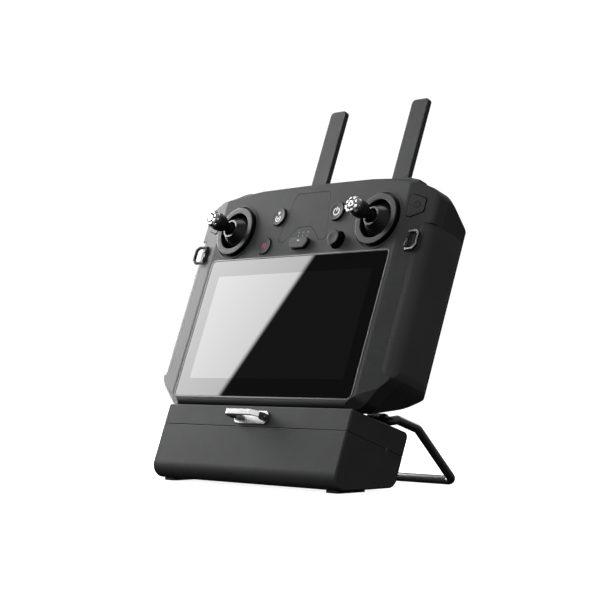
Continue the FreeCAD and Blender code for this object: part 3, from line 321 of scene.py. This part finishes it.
GLASS_SPEC = (0.70, 1.0)
MAT = {
    "shell": plastic("shell_grain", (0.058, 0.059, 0.061), rough=0.58, bump=0.30, edge=0.5),
    "rear": plastic("rear_grain", (0.048, 0.049, 0.051), rough=0.58, bump=0.32, edge=0.5),
    "module": plastic("module_grain", (0.054, 0.055, 0.057), rough=0.58, bump=0.32, edge=0.5),
    "plate": plastic("plate_grain", (0.056, 0.057, 0.059), rough=0.58, bump=0.25, edge=0.35, round_mm=0.18),
    "ring": plastic("ring_satin", (0.028, 0.0283, 0.0293), rough=0.34, grain=3400, bump=0.16, edge=0.9, edge_highlight_col=(0.30, 0.30, 0.31), round_mm=0.3, spec=0.14),
    "button": plastic("button_satin", (0.050, 0.051, 0.053), rough=0.40, grain=3600, bump=0.14, edge=0.6, round_mm=0.3),
    "black": plastic("key_black", (0.008, 0.008, 0.0085), rough=0.36, grain=3200, bump=0.16, edge=0.6, round_mm=0.25),
    "boot": plastic("boot_gloss", (0.010, 0.010, 0.011), rough=0.22, grain=1500, bump=0.08, edge=0.9, edge_highlight_col=(0.30, 0.30, 0.31), round_mm=0.25, spec=0.6),
    # painted shade: near-black plastic for walls that stand in shadow
    "wall_shade": plastic("painted_shade_black", (0.0045, 0.0045, 0.0048), rough=0.55, bump=0.2, edge=0.0, round_mm=0.0, spec=0.15),
    # painted shade: a darker copy of the bright steel for faces turned downward
    "bright_shaded": metal("bright_steel_painted_shade", (0.10, 0.10, 0.105), rough=0.30, bump=0.03, round_mm=0.0),
    "inner": plastic("inner_mould", (0.022, 0.022, 0.023), rough=0.55, bump=0.3, edge=0.2),
    "blade": plastic("blade_grain", (0.052, 0.053, 0.055), rough=0.56, bump=0.30, edge=0.7, round_mm=0.3),
    "grip": rubber("grip_rubber", (0.043, 0.0432, 0.045)),
    "foot": rubber("foot_rubber", (0.018, 0.018, 0.018), rough=0.8),
    "rim": metal("rim_metal", (0.085, 0.085, 0.09), rough=0.30, bump=0.03, round_mm=0.1),
    "knob": plastic("knob_anodised", (0.012, 0.012, 0.013), rough=0.34, grain=2400, bump=0.3, edge=0.8, edge_highlight_col=(0.16, 0.16, 0.165), spec=0.6, round_mm=0.12),
    "tip": metal("tip_turned", (0.66, 0.66, 0.68), rough=0.22, bump=0.03, round_mm=0.12),
    "bright": metal("bright_steel", (0.40, 0.40, 0.41), rough=0.24, bump=0.01, round_mm=0.0, scale=400.0),
    "pin": metal("pin_steel", (0.42, 0.42, 0.44), rough=0.28),
    "screw": metal("screw_dark", (0.22, 0.22, 0.23), rough=0.33),
    "gimbal": metal("gimbal_alloy", (0.30, 0.30, 0.31), rough=0.35),
    "loop": plastic("loop_coated", (0.010, 0.010, 0.010), rough=0.34, grain=2400, bump=0.1, edge=0.25, edge_highlight_col=(0.05, 0.05, 0.05), round_mm=0.25, spec=0.35),
    "bail": plastic("bail_coated", (0.022, 0.0222, 0.023), rough=0.33, grain=1800, bump=0.16, edge=0.3, spec=0.8, coat=1.0),
    # painted shade: a darker copy of the shell plastic for the downward-facing lower lip
    "shell_painted_shade": plastic("shell_under_painted_shade", (0.024, 0.0244, 0.0252), rough=0.58, bump=0.30, edge=0.3),
    "board": plastic("board_mask", (0.012, 0.075, 0.035), rough=0.35, grain=700, bump=0.1, edge=0.4),
    "cell": plastic("cell_wrap", (0.04, 0.07, 0.15), rough=0.30, grain=500, bump=0.06, edge=0.3),
    "sink": metal("sink_anodised", (0.40, 0.40, 0.42), rough=0.4),
    "panel": plastic("panel_back", (0.02, 0.02, 0.025), rough=0.30, grain=500, bump=0.03, edge=0.2),
    "glass": glass_mat("cover_glass"),
    "white": paint("mark_white", (0.82, 0.82, 0.82), rough=0.5, painted_glow=0.35),
    "grey": paint("mark_grey", (0.34, 0.34, 0.35), rough=0.5),
    "red": paint("mark_red", (0.42, 0.012, 0.03), rough=0.5, painted_glow=0.25),
    "orange": paint("mark_orange", (0.50, 0.13, 0.02), rough=0.5),
}


def front_shading(m):
    """the face's shading normal rolls softly over the crease at the side frames, and its lower lip is darkened towards
    the bottom as painted shade
    """
    nt = m.node_tree
    bs = next(n for n in nt.nodes if n.type == "BSDF_PRINCIPLED")
    bev = next(n for n in nt.nodes if n.type == "BEVEL")
    tc = next(n for n in nt.nodes if n.type == "TEX_COORD")
    sub = node(nt, "ShaderNodeVectorMath", (-1300, 500), operation="SUBTRACT")
    link(nt, tc, "Object", sub, 0)
    sub.inputs[1].default_value = ORG
    sep = node(nt, "ShaderNodeSeparateXYZ", (-1100, 420))
    link(nt, sub, 0, sep, 0)
    au = node(nt, "ShaderNodeMath", (-950, 420), operation="ABSOLUTE")
    link(nt, sep, "X", au, 0)
    ri = node(nt, "ShaderNodeMapRange", (-800, 420))
    for k, v in (("From Min", 0.0936), ("From Max", 0.0968), ("To Min", 0.00025), ("To Max", 0.0032)):
        ri.inputs[k].default_value = v
    link(nt, au, 0, ri, "Value")
    fo = node(nt, "ShaderNodeMapRange", (-800, 180))
    for k, v in (("From Min", 0.0972), ("From Max", 0.0990), ("To Min", 0.0032), ("To Max", 0.00025)):
        fo.inputs[k].default_value = v
    link(nt, au, 0, fo, "Value")
    mn = node(nt, "ShaderNodeMath", (-620, 300), operation="MINIMUM")
    link(nt, ri, 0, mn, 0)
    link(nt, fo, 0, mn, 1)
    link(nt, mn, 0, bev, "Radius")
    bev.samples = 8
    dv = node(nt, "ShaderNodeVectorMath", (-1100, 700), operation="DOT_PRODUCT")
    link(nt, sub, 0, dv, 0)
    dv.inputs[1].default_value = V_AX
    # painted shade: the base colour is multiplied down to 0.08 over the lower lip, in place of the face turning under
    lo = node(nt, "ShaderNodeMapRange", (-900, 700), interpolation_type="SMOOTHSTEP")
    for k, v in (("From Min", -0.0562), ("From Max", -0.0515), ("To Min", 0.08), ("To Max", 1.0)):
        lo.inputs[k].default_value = v
    link(nt, dv, "Value", lo, "Value")
    src = bs.inputs["Base Color"].links[0].from_socket
    mul = node(nt, "ShaderNodeMix", (420, 320), data_type="RGBA", blend_type="MULTIPLY")
    mul.inputs[0].default_value = 1.0
    nt.links.new(src, mul.inputs[6])
    nt.links.new(lo.outputs[0], mul.inputs[7])
    nt.links.new(mul.outputs[2], bs.inputs["Base Color"])


# the face plastic, with painted shade on its lower lip
MAT["face"] = plastic("face_grain_painted_lip_shade", (0.058, 0.059, 0.061), rough=0.58, bump=0.30, edge=0.5)
front_shading(MAT["face"])
USE = {
    "front_shell": "face", "rear_shell": "rear", "grip_left": "grip", "grip_right": "grip", "screen_glass": "glass", "screen_rim": "rim",
    "display_panel": "panel", "main_board": "board", "inner_battery": "cell", "fan_frame": "inner", "fan_rotor": "inner", "heat_sink": "sink",
    "speaker": "inner", "stick_ring_left": "ring", "stick_ring_right": "ring", "gimbal_frame_left": "inner", "gimbal_frame_right": "inner",
    "gimbal_yoke_left": "gimbal", "gimbal_yoke_right": "gimbal", "stick_base_left": "boot", "stick_base_right": "boot",
    "stick_knob_left": "knob", "stick_knob_right": "knob", "stick_tip_left": "tip", "stick_tip_right": "tip", "inset_plate": "plate",
    "antenna_brackets": "rear", "antenna_pins": "pin", "antenna_left": "blade", "antenna_right": "blade", "power_button": "button",
    "function_button": "button", "pause_button": "button", "mode_switch": "button", "five_way_knob": "black", "five_way_stem": "gimbal",
    "record_button": "button", "shutter_button": "button", "dial_left": "black", "dial_right": "black", "corner_button_left": "shell",
    "corner_button_right": "shell", "lanyard_brackets": "ring", "lanyard_ring_left": "loop", "lanyard_ring_right": "loop",
    "rear_cover": "rear", "shell_screws": "screw", "module_top_shell": "module", "module_bottom_shell": "module", "charge_port": "black",
    "module_cells": "cell", "module_board": "board", "module_screws": "screw", "dock_block": "inner", "rubber_feet": "foot",
    "hook_plate": "bright", "hook_pins": "pin", "strap_hook": "bright", "stand_brackets": "black", "stand_bail": "bail",
}
for name, ob in NODES.items():
    ob.data.materials.clear()
    ob.data.materials.append(MAT[USE[name]])
    for p in ob.data.polygons:
        p.material_index = 0


# painted shade: the side walls of the keys, of the wells round them and of the stick rings in their grooves get a
# near-black material, chosen by the way their faces look
N_LOC = (LOC.to_3x3().inverted())


def second(name, mat, pick):
    """give the faces that pick(centre, normal) chooses, in local millimetres, a second material"""
    ob = NODES[name]
    me = ob.data
    me.materials.append(MAT[mat])
    k = len(me.materials) - 1
    mw = ob.matrix_world
    nm = mw.to_3x3().inverted().transposed()
    for p in me.polygons:
        c = LOC.inverted() @ (mw @ p.center)
        n = (nm @ p.normal).normalized()
        n = Vector((n.dot(U_AX), n.dot(W_AX), n.dot(V_AX)))
        if pick(c, n):
            p.material_index = k


side = lambda c, n: abs(n.y) < 0.35
for key in ("power_button", "function_button", "pause_button", "mode_switch", "corner_button_left", "corner_button_right"):
    second(key, "wall_shade", side)
KEYS = [(30.3, 83.6, 9.2), (-30.3, 83.6, 9.2), (-37.9, 61.6, 8.8), (38.3, 61.8, 7.6), (0.3, 61.0, 11.5)]


def well(c, n):
    if not (-0.2 < c.y < 6.0 and abs(n.y) < 0.35):
        return False
    if 97.0 < abs(c.x) < 112.0 and 74.0 < c.z < 93.0:
        return True
    return any(math.hypot(c.x - u, c.z - v) < r for u, v, r in KEYS)


second("front_shell", "wall_shade", well)
# painted shade: the downward-facing faces of the front's lower lip get the darker shell copy
second("front_shell", "shell_painted_shade", lambda c, n: n.z < -0.35 and c.z < -52.9)
for r_ in ("stick_ring_left", "stick_ring_right"):
    # painted shade: the outer wall of the ring, standing in its own groove, gets the near-black wall material
    second(r_, "wall_shade", lambda c, n: abs(n.y) < 0.3 and math.hypot(abs(c.x) - 73.5, c.z - 74.3) > 18.2)
# painted shade: the downward-facing faces of the hook and its plate get the darker steel copy
for h_ in ("strap_hook", "hook_plate"):
    second(h_, "bright_shaded", lambda c, n: n.z < -0.45)


# ------------------------------------------------------------------ mesh helpers (local mm -> row metres)
def mesh_obj(name, verts, faces, mat, body, slot=None, smooth=False, auto=None):
    me = bpy.data.meshes.new(name)
    me.from_pydata([LOC @ Vector(v) for v in verts], [], faces)
    me.validate()
    bm = bmesh.new()
    bm.from_mesh(me)
    bmesh.ops.remove_doubles(bm, verts=bm.verts, dist=1e-7)
    bmesh.ops.recalc_face_normals(bm, faces=bm.faces)
    bm.to_mesh(me)
    bm.free()
    if smooth:
        for p in me.polygons:
            p.use_smooth = True
        if auto:
            me.set_sharp_from_angle(angle=math.radians(auto))
    me.materials.append(MAT[mat])
    ob = bpy.data.objects.new(name, me)
    bpy.context.scene.collection.objects.link(ob)
    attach(ob, body)
    return ob


def slab(poly, surf, up, down):
    """closed plate over a (u, v) outline, its top standing up above the surface surf(u, v) and its foot down below it"""
    n = len(poly)
    vs = [(u, surf(u, v) - up, v) for u, v in poly] + [(u, surf(u, v) + down, v) for u, v in poly]
    fs = [tuple(range(n)), tuple(reversed(range(n, 2 * n)))]
    for i in range(n):
        j = (i + 1) % n
        fs.append((i, n + i, n + j, j))
    return vs, fs


def stroke(points, width, surf, up, down, closed=False):
    """raised line of constant width along (u, v) points"""
    n = len(points)
    half = width / 2
    left, right = [], []
    for i in range(n):
        a = Vector(points[(i - 1) % n if closed else max(i - 1, 0)])
        b = Vector(points[(i + 1) % n if closed else min(i + 1, n - 1)])
        d = (b - a)
        if d.length < 1e-9:
            d = Vector((1, 0))
        d.normalize()
        nrm = Vector((-d.y, d.x))
        p = Vector(points[i])
        left.append(p + nrm * half)
        right.append(p - nrm * half)
    vs = []
    for arr, off in ((left, -up), (right, -up), (left, down), (right, down)):
        vs += [(p.x, surf(p.x, p.y) + off, p.y) for p in arr]
    fs = []
    last = n if closed else n - 1
    for i in range(last):
        j = (i + 1) % n
        fs += [(i, j, n + j, n + i), (2 * n + i, 3 * n + i, 3 * n + j, 2 * n + j), (i, 2 * n + i, 2 * n + j, j), (n + i, n + j, 3 * n + j, 3 * n + i)]
    if not closed:
        fs += [(0, n, 3 * n, 2 * n), (n - 1, 3 * n - 1, 4 * n - 1, 2 * n - 1)]
    return vs, fs


def join(*parts):
    vs, fs = [], []
    for v, f in parts:
        o = len(vs)
        vs += v
        fs += [tuple(i + o for i in q) for q in f]
    return vs, fs


def arc(cu, cv, r, a0, a1, n=32):
    return [(cu + r * math.cos(math.radians(a0 + (a1 - a0) * i / n)), cv + r * math.sin(math.radians(a0 + (a1 - a0) * i / n))) for i in range(n + 1)]


def circle(cu, cv, r, n=32):
    return arc(cu, cv, r, 0, 360, n)[:-1]


def lathe(profile, cu, cv, seg=96):
    """(r, w) open outline turned about the depth line through (cu, cv)"""
    vs, fs = [], []
    m = len(profile)
    for k in range(seg):
        a = 2 * math.pi * k / seg
        c, s = math.cos(a), math.sin(a)
        for r, w in profile:
            vs.append((cu + r * c, w, cv + r * s))
    for k in range(seg):
        q = (k + 1) % seg
        for i in range(m - 1):
            fs.append((k * m + i, k * m + i + 1, q * m + i + 1, q * m + i))
    return vs, fs


# ------------------------------------------------------------------ marks on the keys
def dish(cu, cv, top):
    c = -top + 0.35 - 60.0
    return lambda u, v: c + math.sqrt(3600.0 - (u - cu) ** 2 - (v - cv) ** 2)


UP, DN = 0.05, 0.15
pu, pv = 30.3, 83.6
sf = dish(pu, pv, 1.6)
v_, f_ = join(stroke(arc(pu, pv - 0.2, 2.7, 118, 422, 40), 0.75, sf, UP, DN), stroke([(pu, pv + 3.1), (pu, pv + 0.1)], 0.75, sf, UP, DN))
mesh_obj("power_mark", v_, f_, "white", "power_button_body")
fu, fv = -30.3, 83.6
sf = dish(fu, fv, 1.6)
v_, f_ = join(slab([(fu - 1.5, fv + 3.6), (fu + 1.5, fv + 3.6), (fu + 0.1, fv + 1.0), (fu - 0.1, fv + 1.0)], sf, UP, DN),
              stroke(arc(fu, fv - 1.5, 2.2, 128, 412, 36), 0.85, sf, UP, DN), slab(circle(fu, fv - 1.5, 0.75, 20), sf, UP, DN))
mesh_obj("function_mark", v_, f_, "white", "function_button_body")
zu, zv = -37.9, 61.6
sf = dish(zu, zv, 1.0)
v_, f_ = join(*[stroke([(zu + e * 1.15, zv + 1.9), (zu + e * 1.15, zv - 1.9)], 0.95, sf, UP, DN) for e in (-1, 1)])
mesh_obj("pause_mark", v_, f_, "red", "pause_button_body")
su, sv = 0.3, 61.0
v_, f_ = stroke([(su - 0.9, sv + 1.6), (su + 1.1, sv + 1.6)], 0.7, lambda u, v: -3.0, UP, DN)
mesh_obj("switch_mark", v_, f_, "white", "mode_switch_body")
flat = lambda u, v: 0.0
parts_ = []
for k, du in enumerate((-4.2, 0.0, 4.2)):
    parts_.append(stroke([(su + du, sv + 5.6), (su + du * 1.12, sv + 7.1)], 0.42, flat, 0.03, 0.1))
mesh_obj("switch_ticks", *join(*parts_), "grey", "controller")
parts_ = []
for k, du in enumerate((-4.9, 4.9)):
    parts_.append(slab(circle(su + du, sv + 9.0, 0.55, 16), flat, 0.03, 0.1))
parts_.append(stroke([(su - 0.9, sv + 9.0), (su + 0.9, sv + 9.0)], 0.45, flat, 0.03, 0.1))
mesh_obj("switch_dots", *join(*parts_), "grey", "controller")
mesh_obj("knob_ticks", *join(*[stroke([(29.2, 62.4 - d), (30.3, 62.4 - d)], 0.4, flat, 0.03, 0.1) for d in (0, 1.3)]), "grey", "controller")
mesh_obj("pause_ticks", *join(*[stroke([(su - 5.2 + d, sv - 8.2), (su - 4.2 + d, sv - 8.2)], 0.4, flat, 0.03, 0.1) for d in (0, 2.0)]), "orange", "controller")

# ------------------------------------------------------------------ camera, floor, lights
sc = bpy.context.scene
cam_d = bpy.data.cameras.new("camera")
cam = bpy.data.objects.new("camera", cam_d)
sc.collection.objects.link(cam)
cam_d.sensor_width = 36.0
cam_d.lens = 102.27
cam_d.clip_start, cam_d.clip_end = 0.05, 60
cpos = Vector((0.8849, -0.7802 + ORG.y, 0.0825))
right, up, back = Vector((0.67130, 0.74118, 0.0)), Vector((0.02819, -0.02537, 0.99928)), Vector((0.74065, -0.67083, -0.03793))
cam.matrix_world = Matrix(((right.x, up.x, back.x, cpos.x), (right.y, up.y, back.y, cpos.y), (right.z, up.z, back.z, cpos.z), (0, 0, 0, 1)))
sc.camera = cam


def stage_mesh(name, verts, faces, mat):
    me = bpy.data.meshes.new(name)
    me.from_pydata(verts, [], faces)
    me.materials.append(mat)
    ob = bpy.data.objects.new(name, me)
    sc.collection.objects.link(ob)
    return ob


fm = bpy.data.materials.new("floor_white")
fm.use_nodes = True
b = fm.node_tree.nodes["Principled BSDF"]
b.inputs["Base Color"].default_value = (0.80, 0.80, 0.80, 1)
b.inputs["Roughness"].default_value = 0.9
b.inputs["Specular IOR Level"].default_value = 0.0
b.inputs["Emission Color"].default_value = (1, 1, 1, 1)
b.inputs["Emission Strength"].default_value = 0.90
floor = stage_mesh("floor", [(-14, -14, -0.0002), (14, -14, -0.0002), (14, 14, -0.0002), (-14, 14, -0.0002)], [(0, 1, 2, 3)], fm)
floor.visible_glossy = False
floor.visible_diffuse = False

wd = bpy.data.worlds.new("studio")
sc.world = wd
wd.use_nodes = True
nt = wd.node_tree
nt.nodes.clear()
wo = node(nt, "ShaderNodeOutputWorld", (400, 0))
bg = node(nt, "ShaderNodeBackground", (200, 0))
lp = node(nt, "ShaderNodeLightPath", (-200, 100))
bg.inputs["Color"].default_value = (1, 1, 1, 1)
wt = node(nt, "ShaderNodeTexCoord", (-800, -200))
wsep = node(nt, "ShaderNodeSeparateXYZ", (-600, -200))
link(nt, wt, "Generated", wsep, 0)
wz = node(nt, "ShaderNodeMapRange", (-400, -200), interpolation_type="SMOOTHSTEP")
wz.inputs["From Min"].default_value = -0.75
wz.inputs["From Max"].default_value = 0.45
wz.inputs["To Min"].default_value = 0.008
wz.inputs["To Max"].default_value = 0.21
link(nt, wsep, "Z", wz, "Value")
wx = node(nt, "ShaderNodeMix", (0, 0), data_type="FLOAT")
link(nt, lp, "Is Camera Ray", wx, 0)
nt.links.new(wz.outputs[0], wx.inputs[2])
wx.inputs[3].default_value = 1.05
nt.links.new(wx.outputs[0], bg.inputs["Strength"])
link(nt, bg, 0, wo, "Surface")

# softbox seen in the glass: a card facing the mirror line of the camera, cut off along a slanted edge
N_OUT = -W_AX
pm = cpos - N_OUT * 2 * (cpos - ORG).dot(N_OUT)          # camera mirrored in the glass
DIST = 1.15
axis = (ORG - pm).normalized()
card_c = ORG + axis * DIST
cx = axis.cross(Vector((0, 0, 1))).normalized()
cy = cx.cross(axis).normalized()


def card_point(u, v):
    """where the mirror line through glass point (u, v) meets the card plane, in card coordinates"""
    g = L(u, 0, v)
    d = (g - pm).normalized()
    t = (card_c - pm).dot(axis) / d.dot(axis)
    q = pm + d * t - card_c
    return Vector((q.dot(cx), q.dot(cy)))


e0, e1 = card_point(-38.4, -51.1), card_point(21.4, 53.8)
ed = (e1 - e0).normalized()
en = Vector((-ed.y, ed.x))
if en.dot(card_point(-80, 0) - e0) < 0:
    en = -en
left_dir = (card_point(-80, 0) - card_point(0, 0)).normalized()
KEY = 8.0
NX_, NY_ = 6, 6
X0, X1, Y0, Y1 = -0.62, 0.62, -0.5, 0.5
verts, dist_, faces = [], [], []
for j in range(NY_ + 1):
    for i in range(NX_ + 1):
        x = X0 + (X1 - X0) * i / NX_
        y = Y0 + (Y1 - Y0) * j / NY_
        verts.append(card_c + cx * x + cy * y)
        dist_.append((Vector((x, y)) - e0).dot(en))
for j in range(NY_):
    for i in range(NX_):
        a = j * (NX_ + 1) + i
        faces.append((a, a + 1, a + NX_ + 2, a + NX_ + 1))
km = bpy.data.materials.new("softbox")
km.use_nodes = True
nt = km.node_tree
nt.nodes.clear()
o_ = node(nt, "ShaderNodeOutputMaterial", (400, 0))
e_ = node(nt, "ShaderNodeEmission", (200, 0))
at = node(nt, "ShaderNodeAttribute", (-600, 0))
at.attribute_name = "edge"
m1 = node(nt, "ShaderNodeMapRange", (-400, 0), interpolation_type="SMOOTHSTEP")
m1.inputs["From Min"].default_value = -0.001
m1.inputs["From Max"].default_value = 0.0065
link(nt, at, "Fac", m1, "Value")
m2 = node(nt, "ShaderNodeMapRange", (-400, -250))
m2.inputs["From Min"].default_value = 0.0
m2.inputs["From Max"].default_value = 0.20
m2.inputs["To Min"].default_value = 0.72
m2.inputs["To Max"].default_value = 1.0
link(nt, at, "Fac", m2, "Value")
ml0 = node(nt, "ShaderNodeMath", (-200, 0), operation="MULTIPLY")
link(nt, m1, 0, ml0, 0)
link(nt, m2, 0, ml0, 1)
ml = node(nt, "ShaderNodeMath", (0, 0), operation="MULTIPLY")
ml.inputs[1].default_value = KEY
link(nt, ml0, 0, ml, 0)
ad = node(nt, "ShaderNodeMath", (100, -100), operation="ADD")
ad.inputs[1].default_value = 0.05
link(nt, ml, 0, ad, 0)
link(nt, ad, 0, e_, "Strength")
link(nt, e_, 0, o_, "Surface")
card = stage_mesh("softbox_card", verts, faces, km)
ca = card.data.attributes.new("edge", "FLOAT", "POINT")
ca.data.foreach_set("value", dist_)
card.visible_camera = False
card.visible_shadow = False
card.visible_diffuse = False


def area(name, pos, target, size, power, sizey=None, spread=180):
    ld = bpy.data.lights.new(name, "AREA")
    ld.shape = "RECTANGLE"
    ld.size, ld.size_y = size, sizey or size
    ld.energy = power
    ld.spread = math.radians(spread)
    ob = bpy.data.objects.new(name, ld)
    sc.collection.objects.link(ob)
    ob.location = pos
    ob.rotation_mode = "QUATERNION"
    ob.rotation_quaternion = (Vector(target) - Vector(pos)).to_track_quat("-Z", "Y")
    ob.visible_camera = False
    return ob


area("top_soft", (-0.25, 0.15, 1.5), (0, 0, 0.1), 1.0, 4.0)
area("left_soft", tuple(Vector((0, 0, 0.13)) + Vector((-0.975, 0.03, 0.22)) * 0.75), (0, 0, 0.11), 0.45, 14.0, 0.7)
area("front_fill", (0.68, -1.38, 0.92), (0, 0, 0.12), 0.9, 7.9)
area("back_fill", (-0.35, 1.7, 0.8), (0, 0, 0.12), 1.0, 5.0)

sc.view_settings.view_transform = "Standard"
sc.view_settings.look = "None"
sc.view_settings.exposure = 0.0
sc.view_settings.gamma = 1.0
